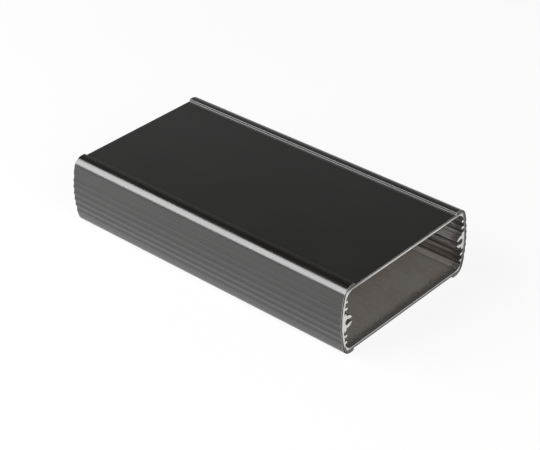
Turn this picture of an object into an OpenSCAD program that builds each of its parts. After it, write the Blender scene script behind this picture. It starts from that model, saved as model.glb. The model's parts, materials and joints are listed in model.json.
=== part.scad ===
// Extruded aluminium enclosure body: a flat, open-ended tube for a circuit board.
// One cross-section runs unchanged along X from one sawn end to the other.
// X is the length, Y the width and Z up; the origin is under the middle of the body.

/* [Body] */
// Length of the body between its two sawn ends
body_l = 150; // [40:1:300]
// Width across the bowed sides at mid-height
body_w = 81.4; // [60:0.1:140]
// Height over the corner rails
body_h = 32; // [30:0.5:50]
// Radius of the bow in each side, seen on the end
bow_r = 44.8; // [35:0.1:90]
// Radius of the outer corners
corner_r = 4.8; // [3.5:0.1:6]
// Radius of the corners inside
inner_corner_r = 4; // [1:0.1:4.4]

/* [Walls] */
// Thickness of the top and bottom panels
panel_wall = 1.3; // [1:0.1:2]
// Thickness of the side walls over the ribs between the grooves
side_wall = 1.8; // [1.5:0.1:2.4]

/* [Rails] */
// Height of the corner rails above the sunk panel
rail_h = 1.1; // [0.8:0.1:1.5]
// Width of the flat crest of each rail
rail_w = 1.8; // [1:0.1:4]
// Radius that breaks the inner edge of a rail and fills its foot
rail_edge_r = 0.35; // [0.1:0.05:0.39]

/* [Side grooves] */
// Number of scalloped grooves along each side
groove_count = 6; // [0:1:6]
// Spacing of the grooves around the bow
groove_pitch = 3.13; // [3.05:0.01:3.3]
// Depth of each groove
groove_depth = 0.35; // [0.1:0.05:0.4]
// Radius of the scallop that forms each groove
groove_r = 3.4; // [1:0.1:3.4]

/* [Board guides] */
// Number of guide teeth above the screw channel, and as many below it
guide_count = 2; // [0:1:2]
// Thickness of a guide tooth
guide_t = 1.1; // [0.8:0.1:1.3]
// Spacing of the teeth, which leaves a board slot between two of them
guide_pitch = 3.05; // [2.9:0.05:3.3]
// Height of the first tooth above the screw channel
guide_start = 6.45; // [6.2:0.05:6.6]
// How far the teeth stand in from the side wall at mid-height
guide_reach = 2.25; // [1.8:0.05:4]

/* [Screw channels] */
// Radius of the open channel that takes an end cover screw
channel_r = 1.35; // [1:0.05:1.5]
// Distance from the side wall at mid-height to the middle of the channel
channel_inset = 2.25; // [1.9:0.05:2.6]
// Thickness of the C-shaped wall around the channel
channel_wall = 1.45; // [1:0.05:1.6]
// Width of the channel's mouth
mouth_w = 1.9; // [1:0.1:1.9]
// Half height of the web that joins the channel to the side wall
web_z = 4.1; // [3.4:0.1:4.2]
// How far the end of the web leans back towards the side wall
web_lean = 0.8; // [0.2:0.1:1.2]

/* [Hidden] */
$fn = 96;
// Overlap by which a cutting shape runs past what it cuts
over = 1;
panel_z = body_h / 2 - rail_h;
cavity_w = body_w - 2 * side_wall;
cavity_h = 2 * (panel_z - panel_wall);
guide_y = cavity_w / 2 - guide_reach;
channel_y = cavity_w / 2 - channel_inset;
boss_r = channel_r + channel_wall;
// Angle between two grooves, seen from the centre of the bow
groove_step = groove_pitch / bow_r * 180 / PI;
// Y of the step between a rail and the sunk panel
step_y = corner_y(body_w, body_h, bow_r, corner_r) - rail_w;

// Y of the centre of a corner arc that meets the bow and the level face smoothly
function corner_y(w, h, bow, corner) =
    w / 2 - bow + sqrt(pow(bow - corner, 2) - pow(h / 2 - corner, 2));

// Repeats its children on the other side of the upright middle plane
module on_both_sides() {
    children();
    mirror([1, 0]) children();
}

// Repeats its children on the other side of the level middle plane
module above_and_below() {
    children();
    mirror([0, 1]) children();
}

// What a corner arc cuts away between two directions: the wedge beyond its circle
module corner_waste(r, from, to) {
    mid = (from + to) / 2;
    reach = 2 * r;
    difference() {
        polygon([
            [0, 0],
            reach * [cos(from), sin(from)],
            reach * [cos(mid), sin(mid)],
            reach * [cos(to), sin(to)]
        ]);
        circle(r);
    }
}

// Flat shape with a level top and bottom, bowed sides and corner arcs tangent to both
module bowed_outline(w, h, bow, corner) {
    y = corner_y(w, h, bow, corner);
    z = h / 2 - corner;
    bow_y = w / 2 - bow;
    difference() {
        intersection() {
            square([w + over, h], center = true);
            translate([bow_y, 0]) circle(bow);
            translate([-bow_y, 0]) circle(bow);
        }
        on_both_sides()
            above_and_below()
                translate([y, z]) corner_waste(corner, atan2(z, y - bow_y), 90);
    }
}

// Row of shallow scallops that leaves the fine ribs on the outside of one side wall
module side_grooves() {
    for (i = [0 : 1 : groove_count - 1]) {
        turn = (i - (groove_count - 1) / 2) * groove_step;
        translate([body_w / 2 - bow_r, 0])
            rotate(turn)
                translate([bow_r - groove_depth + groove_r, 0]) circle(groove_r);
    }
}

// Half of the sunk strip between two rails, with the rail's edge broken and its foot filled
module panel_recess() {
    top_z = body_h / 2 - rail_edge_r;
    foot_z = panel_z + rail_edge_r;
    difference() {
        translate([-over, panel_z]) square([step_y + over, rail_h + over]);
        difference() {
            translate([step_y - rail_edge_r, panel_z - over]) square(rail_edge_r + over);
            translate([step_y - rail_edge_r, foot_z]) circle(rail_edge_r);
        }
    }
    difference() {
        translate([step_y - over, top_z]) square(rail_edge_r + over);
        translate([step_y + rail_edge_r, top_z]) circle(rail_edge_r);
    }
}

// One guide tooth with a round nose, rooted in the side wall
module guide_tooth(z) {
    nose_y = guide_y + guide_t / 2;
    translate([nose_y, z]) circle(d = guide_t);
    translate([nose_y, z - guide_t / 2]) square([cavity_w / 2 - nose_y, guide_t]);
}

// Solid of the screw channel and of the web that ties it to the side wall
module channel_boss() {
    translate([channel_y, 0]) circle(boss_r);
    polygon([
        [cavity_w / 2, web_z],
        [channel_y + web_lean, web_z],
        [channel_y, channel_r],
        [channel_y, -channel_r],
        [channel_y + web_lean, -web_z],
        [cavity_w / 2, -web_z]
    ]);
}

// Bore of the screw channel and the mouth that opens it towards the board
module channel_opening() {
    translate([channel_y, 0]) circle(channel_r);
    translate([channel_y - boss_r - over, -mouth_w / 2]) square([boss_r + over, mouth_w]);
}

// Cross-section of the whole extrusion, seen along its length
module section() {
    difference() {
        bowed_outline(body_w, body_h, bow_r, corner_r);
        difference() {
            bowed_outline(cavity_w, cavity_h, bow_r - side_wall, inner_corner_r);
            on_both_sides() {
                channel_boss();
                above_and_below()
                    for (i = [0 : 1 : guide_count - 1]) guide_tooth(guide_start + i * guide_pitch);
            }
        }
        on_both_sides() {
            channel_opening();
            side_grooves();
            above_and_below() panel_recess();
        }
    }
}

// The section drawn out along X and stood on its bottom rails
module extruded_body() {
    color([0.2, 0.2, 0.21])
        translate([-body_l / 2, 0, body_h / 2])
            rotate([90, 0, 90])
                linear_extrude(height = body_l) section();
}

extruded_body();
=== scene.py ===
"""Finish, light and camera for the extruded aluminium enclosure body.

One extrusion, so one CAD node carries every shape. Its faces take three finishes by
where they lie: satin black anodising outside, thin brownish anodising inside and bare
sawn metal at the two ends. Lengths are in metres.
"""
import json
import math

import bpy
from mathutils import Matrix, Vector
from mathutils.bvhtree import BVHTree


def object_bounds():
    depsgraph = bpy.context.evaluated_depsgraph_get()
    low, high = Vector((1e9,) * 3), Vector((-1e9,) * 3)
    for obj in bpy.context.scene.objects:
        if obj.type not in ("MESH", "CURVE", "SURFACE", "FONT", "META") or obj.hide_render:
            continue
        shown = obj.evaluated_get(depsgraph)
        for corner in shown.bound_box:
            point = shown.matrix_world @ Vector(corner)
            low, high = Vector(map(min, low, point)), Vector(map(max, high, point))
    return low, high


BODY_NODE = "extruded_body"
MM = 0.001

# Camera: where it stands, seen from the middle of the body
CAMERA_AZIMUTH = math.radians(42.126)
CAMERA_ELEVATION = math.radians(32.722)
CAMERA_ROLL = math.radians(-0.871)
CAMERA_DISTANCE = 670.7 * MM
CAMERA_SHIFT_RIGHT = 2.064 * MM
CAMERA_SHIFT_UP = -4.436 * MM
CAMERA_LENS = 105.7
CAMERA_SENSOR = 36.0

# Floor: half its side, and how much plain white it shows to the eye and in a mirroring surface
FLOOR_REACH = 8.0
FLOOR_SEEN_WHITE = 0.88
FLOOR_MIRRORED_WHITE = 0.3

# Studio: what the horizon adds to the walls, and how bright the walls and the roof are
HORIZON_LEVEL = 0.70
WALL_LEVEL = 0.31
ROOF_LEVEL = 0.02

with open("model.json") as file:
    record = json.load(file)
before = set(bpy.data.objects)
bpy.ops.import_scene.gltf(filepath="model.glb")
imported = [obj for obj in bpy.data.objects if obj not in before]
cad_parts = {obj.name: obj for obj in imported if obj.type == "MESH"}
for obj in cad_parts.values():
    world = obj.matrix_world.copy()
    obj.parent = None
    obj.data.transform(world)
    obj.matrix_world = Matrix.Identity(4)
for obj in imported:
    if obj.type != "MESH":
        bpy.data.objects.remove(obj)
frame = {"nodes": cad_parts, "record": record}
CAD_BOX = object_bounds()
CENTRE = (CAD_BOX[0] + CAD_BOX[1]) / 2
HALF_LENGTH = (CAD_BOX[1].x - CAD_BOX[0].x) / 2
HALF_WIDTH = (CAD_BOX[1].y - CAD_BOX[0].y) / 2
HALF_HEIGHT = (CAD_BOX[1].z - CAD_BOX[0].z) / 2
MOUNTS = {mount["name"]: mount for mount in frame["record"]["mounts"]}

# The section, as in the CAD source
BOW_RADIUS = 44.8 * MM
BOW_AXIS_OFFSET = BOW_RADIUS - HALF_WIDTH
SIDE_WALL = 1.8 * MM
RAIL_HEIGHT = 1.1 * MM
PANEL_WALL = 1.3 * MM
INNER_HEIGHT = HALF_HEIGHT - RAIL_HEIGHT - PANEL_WALL
GROOVE_COUNT = 6
GROOVE_PITCH = 3.13 * MM
GROOVE_BAND = GROOVE_COUNT * GROOVE_PITCH / 2

# Finishes: which face takes which, and how they are spread
OUTSIDE = 0
INSIDE = 1
SAWN = 2
GROOVE_SOFTENING = 0.38
END_FACE_SLOPE = 0.9
RAY_LIFT = 0.01 * MM
GROOVED_SKIN = 2.5 * MM
SOFT_EDGE = 0.6 * MM
EVEN = (1, 1, 1)
# Most of a noise lies between these two values
NOISE_LOW = 0.3
NOISE_HIGH = 0.7


# ---------------------------------------------------------------- node helpers

def add(tree, kind, inputs=None, **settings):
    """Adds a shader node, sets its properties, and links or sets its inputs."""
    node = tree.nodes.new("ShaderNode" + kind)
    for name, value in settings.items():
        setattr(node, name, value)
    for name, value in (inputs or {}).items():
        if isinstance(value, bpy.types.NodeSocket):
            tree.links.new(value, node.inputs[name])
        else:
            node.inputs[name].default_value = value
    return node


def new_material(name):
    """An empty node material and its output node."""
    material = bpy.data.materials.new(name)
    material.use_nodes = True
    tree = material.node_tree
    tree.nodes.clear()
    return material, tree, add(tree, "OutputMaterial")


def object_point(tree):
    """The point in the frame's own coordinates."""
    return add(tree, "TexCoord").outputs["Object"]


def noise(tree, size, stretch=EVEN, detail=2.0, tilt=0.0):
    """Noise with features of about this size, stretched along each axis and tilted about X."""
    scale = [1 / (size * factor) for factor in stretch]
    placing = {"Vector": object_point(tree), "Scale": scale, "Rotation": (tilt, 0, 0)}
    where = add(tree, "Mapping", placing).outputs[0]
    return add(tree, "TexNoise", {"Vector": where, "Scale": 1.0, "Detail": detail}).outputs["Fac"]


def ramp(tree, value, low, high, out_low=0.0, out_high=1.0):
    """A value between low and high, spread smoothly from out_low to out_high."""
    inputs = {"Value": value, "From Min": low, "From Max": high, "To Min": out_low, "To Max": out_high}
    return add(tree, "MapRange", inputs, interpolation_type="SMOOTHSTEP").outputs[0]


def math_node(tree, operation, a, b=0.0):
    """One Math node."""
    node = add(tree, "Math", operation=operation)
    for socket, value in zip(node.inputs, (a, b)):
        if isinstance(value, bpy.types.NodeSocket):
            tree.links.new(value, socket)
        else:
            socket.default_value = value
    return node.outputs[0]


def product(tree, a, b):
    """Two values multiplied."""
    return math_node(tree, "MULTIPLY", a, b)


def size_of(tree, value):
    """A value without its sign."""
    return math_node(tree, "ABSOLUTE", value)


def blend_colours(tree, factor, a, b):
    """Colour a where the factor is 0 and colour b where it is 1."""
    node = add(tree, "Mix", data_type="RGBA")
    for index, value in ((0, factor), (6, a), (7, b)):
        if isinstance(value, bpy.types.NodeSocket):
            tree.links.new(value, node.inputs[index])
        else:
            node.inputs[index].default_value = value
    return node.outputs[2]


def bump(tree, height, distance, below=None):
    """A bump normal, on top of an earlier one if given."""
    inputs = {"Height": height, "Distance": distance, "Strength": 1.0}
    if below is not None:
        inputs["Normal"] = below
    return add(tree, "Bump", inputs).outputs[0]


# ---------------------------------------------------------------- finishes

def section_place(tree):
    """Where a point lies in the section, across and up from the middle."""
    point = add(tree, "SeparateXYZ", {"Vector": object_point(tree)})
    across = math_node(tree, "SUBTRACT", point.outputs["Y"], CENTRE.y)
    height = math_node(tree, "SUBTRACT", point.outputs["Z"], CENTRE.z)
    return across, height


def normalised(tree, vector):
    """A vector made one unit long."""
    node = add(tree, "VectorMath", operation="NORMALIZE")
    tree.links.new(vector, node.inputs[0])
    return node.outputs[0]


def bow_normal(tree, across, height):
    """The direction straight out of the bowed side wall, as if it had no grooves."""
    side = math_node(tree, "SIGN", across)
    from_axis = math_node(tree, "ADD", across, product(tree, side, BOW_AXIS_OFFSET))
    return normalised(tree, add(tree, "CombineXYZ", {"Y": from_axis, "Z": height}).outputs[0])


def softened_grooves(tree):
    """The face normal, eased towards the plain bow where the side grooves are."""
    across, height = section_place(tree)
    skin = HALF_WIDTH - GROOVED_SKIN
    in_band = ramp(tree, size_of(tree, height), GROOVE_BAND, GROOVE_BAND + SOFT_EDGE, 1, 0)
    on_side = ramp(tree, size_of(tree, across), skin - SOFT_EDGE, skin)
    mixed = add(tree, "Mix", data_type="VECTOR")
    tree.links.new(product(tree, product(tree, in_band, on_side), GROOVE_SOFTENING), mixed.inputs[0])
    tree.links.new(add(tree, "NewGeometry").outputs["Normal"], mixed.inputs[4])
    tree.links.new(bow_normal(tree, across, height), mixed.inputs[5])
    return normalised(tree, mixed.outputs[1])


def cut_end_wear(tree, reach):
    """1 at the very ends of the body, broken up, and 0 further in than the reach."""
    along = add(tree, "SeparateXYZ", {"Vector": object_point(tree)}).outputs["X"]
    from_middle = size_of(tree, math_node(tree, "SUBTRACT", along, CENTRE.x))
    ragged = product(tree, noise(tree, size=0.8 * MM), reach)
    return ramp(tree, math_node(tree, "ADD", from_middle, ragged), HALF_LENGTH, HALF_LENGTH + 0.3 * reach)


def depth_below_bow(tree, across, height):
    """How far a point of the section lies inside the bowed outer face of its side wall."""
    from_axis = math_node(tree, "ADD", size_of(tree, across), BOW_AXIS_OFFSET)
    radius = add(tree, "VectorMath", operation="LENGTH")
    tree.links.new(add(tree, "CombineXYZ", {"Y": from_axis, "Z": height}).outputs[0], radius.inputs[0])
    return math_node(tree, "SUBTRACT", BOW_RADIUS, radius.outputs["Value"])


def surface(tree, output, tone, metallic, roughness, normal, refraction):
    """One Principled shader, joined to the material's output."""
    shader = add(tree, "BsdfPrincipled", {
        "Base Color": tone,
        "Metallic": metallic,
        "IOR": refraction,
        "Roughness": roughness,
        "Normal": normal,
    })
    tree.links.new(shader.outputs[0], output.inputs["Surface"])


def anodised_outside():
    """Satin black anodising over fine die lines, with specks and bare metal at the cut ends."""
    material, tree, output = new_material("black_anodised")
    die_lines = noise(tree, size=0.35 * MM, stretch=(400, 1, 1), detail=3.0)
    etch = noise(tree, size=0.12 * MM)
    smudges = noise(tree, size=22 * MM, stretch=(1.6, 1, 1), detail=3.0)
    specks = ramp(tree, noise(tree, size=0.55 * MM, detail=1.0), 0.76, 0.82)
    wear = cut_end_wear(tree, reach=0.35 * MM)
    tone = blend_colours(tree, smudges, (0.0070, 0.0064, 0.0058, 1), (0.0100, 0.0092, 0.0084, 1))
    tone = blend_colours(tree, specks, tone, (0.06, 0.06, 0.06, 1))
    tone = blend_colours(tree, wear, tone, (0.32, 0.31, 0.30, 1))
    roughness = ramp(tree, smudges, NOISE_LOW, NOISE_HIGH, 0.19, 0.24)
    normal = bump(tree, die_lines, 0.003 * MM, below=softened_grooves(tree))
    normal = bump(tree, etch, 0.0015 * MM, below=normal)
    surface(tree, output, tone, 0.0, roughness, normal, refraction=1.8)
    return material


def anodised_inside():
    """Thin, mottled anodising: dark streaks along the side walls, partly uneven anodising and partly painted
    shade of the dim inner walls, and darker near the cut ends.
    """
    material, tree, output = new_material("inside_anodised")
    die_lines = noise(tree, size=0.5 * MM, stretch=(300, 1, 1), detail=3.0)
    stains = noise(tree, size=7 * MM, stretch=(1.5, 1, 1), detail=3.0)
    streaks = ramp(tree, noise(tree, size=1.3 * MM, stretch=(60, 1, 1)), 0.44, 0.56)
    wear = cut_end_wear(tree, reach=9 * MM)
    across, _ = section_place(tree)
    # Partly painted shade: near-black streaks are laid only on the inner side walls, which lie darker in
    # their shade; the streaky pattern itself is uneven anodising.
    on_wall_painted_shade = ramp(tree, size_of(tree, across), 33 * MM, 37 * MM, 0, 0.8)
    mottle = ramp(tree, stains, 0.2, 0.8)
    tone = blend_colours(tree, mottle, (0.262, 0.228, 0.195, 1), (0.275, 0.262, 0.25, 1))
    tone = blend_colours(tree, wear, tone, (0.12, 0.11, 0.105, 1))
    # Streaks of uneven anodising, placed on the side walls as painted shade.
    tone = blend_colours(tree, product(tree, streaks, on_wall_painted_shade), tone, (0.035, 0.03, 0.025, 1))
    roughness = ramp(tree, stains, NOISE_LOW, NOISE_HIGH, 0.24, 0.34)
    normal = bump(tree, die_lines, 0.006 * MM)
    surface(tree, output, tone, 0.0, roughness, normal, refraction=1.6)
    return material


def sawn_tone(tree, patches):
    """The colour of the sawn end: pale on the teeth and screw channels, darker towards the outer skin and at
    the top corners, with painted shade on the far side wall, along the bottom wall and low on the side
    walls, standing in for the shadowed floor that the bare metal mirrors.
    """
    across, height = section_place(tree)
    depth = depth_below_bow(tree, across, height)
    ragged_depth = math_node(tree, "ADD", depth, product(tree, patches, 0.25 * MM))
    outer_skin = ramp(tree, ragged_depth, SIDE_WALL / 2, SIDE_WALL / 2 + 0.25 * MM, 1, 0)
    side_wall = ramp(tree, depth, SIDE_WALL - 0.1 * MM, SIDE_WALL + 0.1 * MM, 1, 0)
    # Painted shade: the far side wall of the end is darkened, standing in for the shadowed floor that the
    # metal mirrors there.
    far_wall_painted_shade = product(tree, side_wall, ramp(tree, across, 0, 1 * MM))
    above_cavity = ramp(tree, height, INNER_HEIGHT - 0.1 * MM, INNER_HEIGHT)
    off_middle = ramp(tree, size_of(tree, across), 18 * MM, 37 * MM, 0, 0.6)
    top_ends = product(tree, off_middle, above_cavity)
    top_skin = ramp(tree, height, INNER_HEIGHT + 0.55 * MM, INNER_HEIGHT + 0.85 * MM, 0, 0.9)
    # Painted shade: the bottom wall of the end is darkened, standing in for the contact shadow that the
    # metal mirrors from the floor just below.
    bottom_painted_shade = ramp(tree, height, -INNER_HEIGHT - 0.55 * MM, -INNER_HEIGHT - 0.2 * MM, 0.85, 0)
    # Painted shade: the side walls of the end are darkened low down, towards the foot, standing in for the
    # nearby floor shadow that the metal mirrors.
    towards_foot = ramp(tree, height, -INNER_HEIGHT + 1.5 * MM, -INNER_HEIGHT + 3.5 * MM, 0.85, 0)
    low_corner_painted_shade = product(tree, side_wall, towards_foot)
    tone = blend_colours(tree, patches, (0.74, 0.73, 0.70, 1), (0.88, 0.88, 0.86, 1))
    # Painted shade on the far side wall.
    tone = blend_colours(tree, far_wall_painted_shade, tone, (0.21, 0.20, 0.22, 1))
    tone = blend_colours(tree, top_ends, tone, (0.16, 0.15, 0.14, 1))
    tone = blend_colours(tree, top_skin, tone, (0.08, 0.08, 0.08, 1))
    # Painted shade along the bottom wall.
    tone = blend_colours(tree, bottom_painted_shade, tone, (0.09, 0.09, 0.09, 1))
    # Painted shade low on the side walls.
    tone = blend_colours(tree, low_corner_painted_shade, tone, (0.12, 0.12, 0.12, 1))
    return blend_colours(tree, outer_skin, tone, (0.07, 0.07, 0.07, 1))


def sawn_metal():
    """Bare aluminium with the fine parallel marks of a saw."""
    material, tree, output = new_material("sawn_aluminium")
    marks = noise(tree, size=0.18 * MM, stretch=(1, 1, 60), detail=3.0, tilt=math.radians(12))
    patches = noise(tree, size=3 * MM)
    roughness = ramp(tree, marks, NOISE_LOW, NOISE_HIGH, 0.34, 0.48)
    normal = bump(tree, marks, 0.010 * MM)
    surface(tree, output, sawn_tone(tree, patches), 1.0, roughness, normal, refraction=1.5)
    return material


def face_zone(polygon, tree, skin_height):
    """Whether a face lies outside, inside or on a sawn end."""
    if abs(polygon.normal.x) > END_FACE_SLOPE:
        return SAWN
    if abs(polygon.center.z - CENTRE.z) > skin_height:
        return OUTSIDE
    start = polygon.center + polygon.normal * RAY_LIFT
    blocked = tree.ray_cast(start, polygon.normal)[0] is not None
    return INSIDE if blocked else OUTSIDE


def dress_body():
    """Gives each face of the extrusion the finish of the zone that it lies in."""
    body = frame["nodes"][BODY_NODE]
    mesh = body.data
    mesh.materials.clear()
    finishes = {OUTSIDE: anodised_outside(), INSIDE: anodised_inside(), SAWN: sawn_metal()}
    for zone in (OUTSIDE, INSIDE, SAWN):
        mesh.materials.append(finishes[zone])
    tree = BVHTree.FromPolygons([v.co for v in mesh.vertices], [p.vertices for p in mesh.polygons])
    skin_height = MOUNTS["front_end"]["pos_m"][2] - CENTRE.z
    for polygon in mesh.polygons:
        polygon.material_index = face_zone(polygon, tree, skin_height)


# ---------------------------------------------------------------- floor and light

def white_when_seen(tree, shader, seen_share, mirrored_share):
    """Mixes white into a shader: one share for rays that see it, one for those that mirror it."""
    path = add(tree, "LightPath")
    mirrored = math_node(tree, "MAXIMUM", path.outputs["Is Glossy Ray"], path.outputs["Is Transmission Ray"])
    seen = product(tree, path.outputs["Is Camera Ray"], seen_share)
    factor = math_node(tree, "MAXIMUM", seen, product(tree, mirrored, mirrored_share))
    white = add(tree, "Emission", {"Color": (1, 1, 1, 1), "Strength": 1.0})
    mixed = add(tree, "MixShader", {"Fac": factor})
    tree.links.new(shader, mixed.inputs[1])
    tree.links.new(white.outputs[0], mixed.inputs[2])
    return mixed.outputs[0]


def make_floor():
    """A plain pale floor under the rails, which keeps a light shadow."""
    under_rails = (CENTRE.x, CENTRE.y, CAD_BOX[0].z)
    bpy.ops.mesh.primitive_plane_add(size=2 * FLOOR_REACH, location=under_rails)
    floor = bpy.context.object
    floor.name = "floor"
    material, tree, output = new_material("floor_white")
    matt = add(tree, "BsdfDiffuse", {"Color": (0.85, 0.85, 0.85, 1)})
    shown = white_when_seen(tree, matt.outputs[0], FLOOR_SEEN_WHITE, FLOOR_MIRRORED_WHITE)
    tree.links.new(shown, output.inputs["Surface"])
    floor.data.materials.append(material)


def make_world():
    """A studio that is pale at the horizon, dim above it and dark overhead."""
    world = bpy.data.worlds.new("studio")
    bpy.context.scene.world = world
    world.use_nodes = True
    tree = world.node_tree
    tree.nodes.clear()
    direction = add(tree, "TexCoord").outputs["Generated"]
    height = add(tree, "SeparateXYZ", {"Vector": direction}).outputs["Z"]
    horizon_glow = ramp(tree, height, 0.05, 0.40, HORIZON_LEVEL, 0.0)
    walls_to_roof = ramp(tree, height, 0.42, 0.70, WALL_LEVEL, ROOF_LEVEL)
    sky = add(tree, "Background", {"Strength": math_node(tree, "ADD", horizon_glow, walls_to_roof)})
    output = add(tree, "OutputWorld")
    tree.links.new(sky.outputs[0], output.inputs["Surface"])


def softbox(name, towards, distance, width, height, radiance):
    """A rectangular soft light that faces the middle of the body, of an even brightness."""
    lamp = bpy.data.lights.new(name, "AREA")
    lamp.shape = "RECTANGLE"
    lamp.size = width
    lamp.size_y = height
    lamp.energy = radiance * math.pi * width * height
    holder = bpy.data.objects.new(name, lamp)
    bpy.context.scene.collection.objects.link(holder)
    away = Vector(towards).normalized()
    holder.location = CENTRE + away * distance
    holder.rotation_euler = away.to_track_quat("Z", "Y").to_euler()


def make_camera():
    """The camera at the photograph's viewing angle."""
    sin_a, cos_a = math.sin(CAMERA_AZIMUTH), math.cos(CAMERA_AZIMUTH)
    sin_e, cos_e = math.sin(CAMERA_ELEVATION), math.cos(CAMERA_ELEVATION)
    back = Vector((sin_a * cos_e, -cos_a * cos_e, sin_e))
    level = Vector((cos_a, sin_a, 0))
    upright = back.cross(level)
    right = level * math.cos(CAMERA_ROLL) + upright * math.sin(CAMERA_ROLL)
    up = upright * math.cos(CAMERA_ROLL) - level * math.sin(CAMERA_ROLL)
    lens = bpy.data.cameras.new("camera")
    lens.lens = CAMERA_LENS
    lens.sensor_width = CAMERA_SENSOR
    lens.clip_start = 0.01
    lens.clip_end = 20
    camera = bpy.data.objects.new("camera", lens)
    bpy.context.scene.collection.objects.link(camera)
    place_at = CENTRE + right * CAMERA_SHIFT_RIGHT + up * CAMERA_SHIFT_UP + back * CAMERA_DISTANCE
    turn = Matrix((right, up, back)).transposed().to_4x4()
    camera.matrix_world = Matrix.Translation(place_at) @ turn
    bpy.context.scene.camera = camera


dress_body()
make_floor()
make_world()
softbox("key", towards=(-0.56, -0.64, 0.58), distance=0.9, width=0.9, height=0.62, radiance=6.5)
softbox("fill", towards=(0.80, -0.35, 0.45), distance=0.9, width=0.7, height=0.6, radiance=4.5)
make_camera()
bpy.context.scene.view_settings.view_transform = "Standard"
